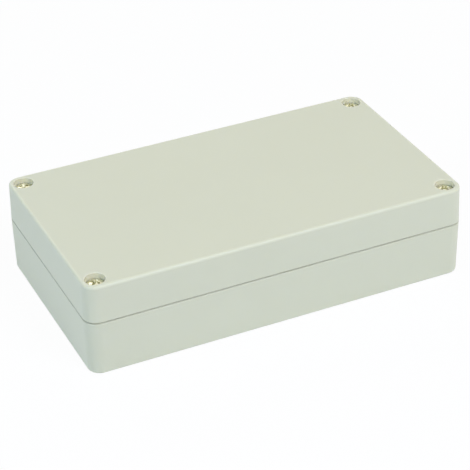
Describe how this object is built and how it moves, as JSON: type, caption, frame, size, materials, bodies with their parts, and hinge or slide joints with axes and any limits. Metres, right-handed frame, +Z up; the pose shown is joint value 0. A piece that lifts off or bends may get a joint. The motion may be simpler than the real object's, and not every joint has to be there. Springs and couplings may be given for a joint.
{
  "type": "plastic project box",
  "caption": "Rectangular moulded enclosure: base and lift-off lid with a gasket, captive corner screws in brass inserts, and wall-mounting holes outside the seal.",
  "frame": {"origin": "centre of the box's footprint, on the surface it stands on", "axes": "+X along the length, +Y across the width towards the back, +Z up through the lid"},
  "size_m": [0.16, 0.09, 0.039],
  "materials": {
    "shell_plastic": "smooth moulded ABS with a low satin sheen, pale grey with a faint yellow-green cast",
    "gasket_rubber": "soft matt rubber",
    "screw_steel": "plated steel, turned and slightly yellowed",
    "insert_brass": "knurled brass"
  },
  "bodies": {
    "base": {"base": "shell_plastic", "insert_front_left": "insert_brass", "insert_front_right": "insert_brass", "insert_back_left": "insert_brass", "insert_back_right": "insert_brass"},
    "lid": {"lid": "shell_plastic", "gasket": "gasket_rubber"},
    "screw_front_left": {"screw_front_left": "screw_steel"},
    "screw_front_right": {"screw_front_right": "screw_steel"},
    "screw_back_left": {"screw_back_left": "screw_steel"},
    "screw_back_right": {"screw_back_right": "screw_steel"}
  },
  "joints": [
    {"name": "lid_lift", "type": "slide", "parent": "base", "child": "lid", "axis": [0, 0, 1], "range_m": [0, 0.06]},
    {"name": "screw_front_left_back_out", "type": "slide", "parent": "lid", "child": "screw_front_left", "axis": [0, 0, 1], "range_m": [0, 0.0068]},
    {"name": "screw_front_right_back_out", "type": "slide", "parent": "lid", "child": "screw_front_right", "axis": [0, 0, 1], "range_m": [0, 0.0068]},
    {"name": "screw_back_left_back_out", "type": "slide", "parent": "lid", "child": "screw_back_left", "axis": [0, 0, 1], "range_m": [0, 0.0068]},
    {"name": "screw_back_right_back_out", "type": "slide", "parent": "lid", "child": "screw_back_right", "axis": [0, 0, 1], "range_m": [0, 0.0068]}
  ]
}
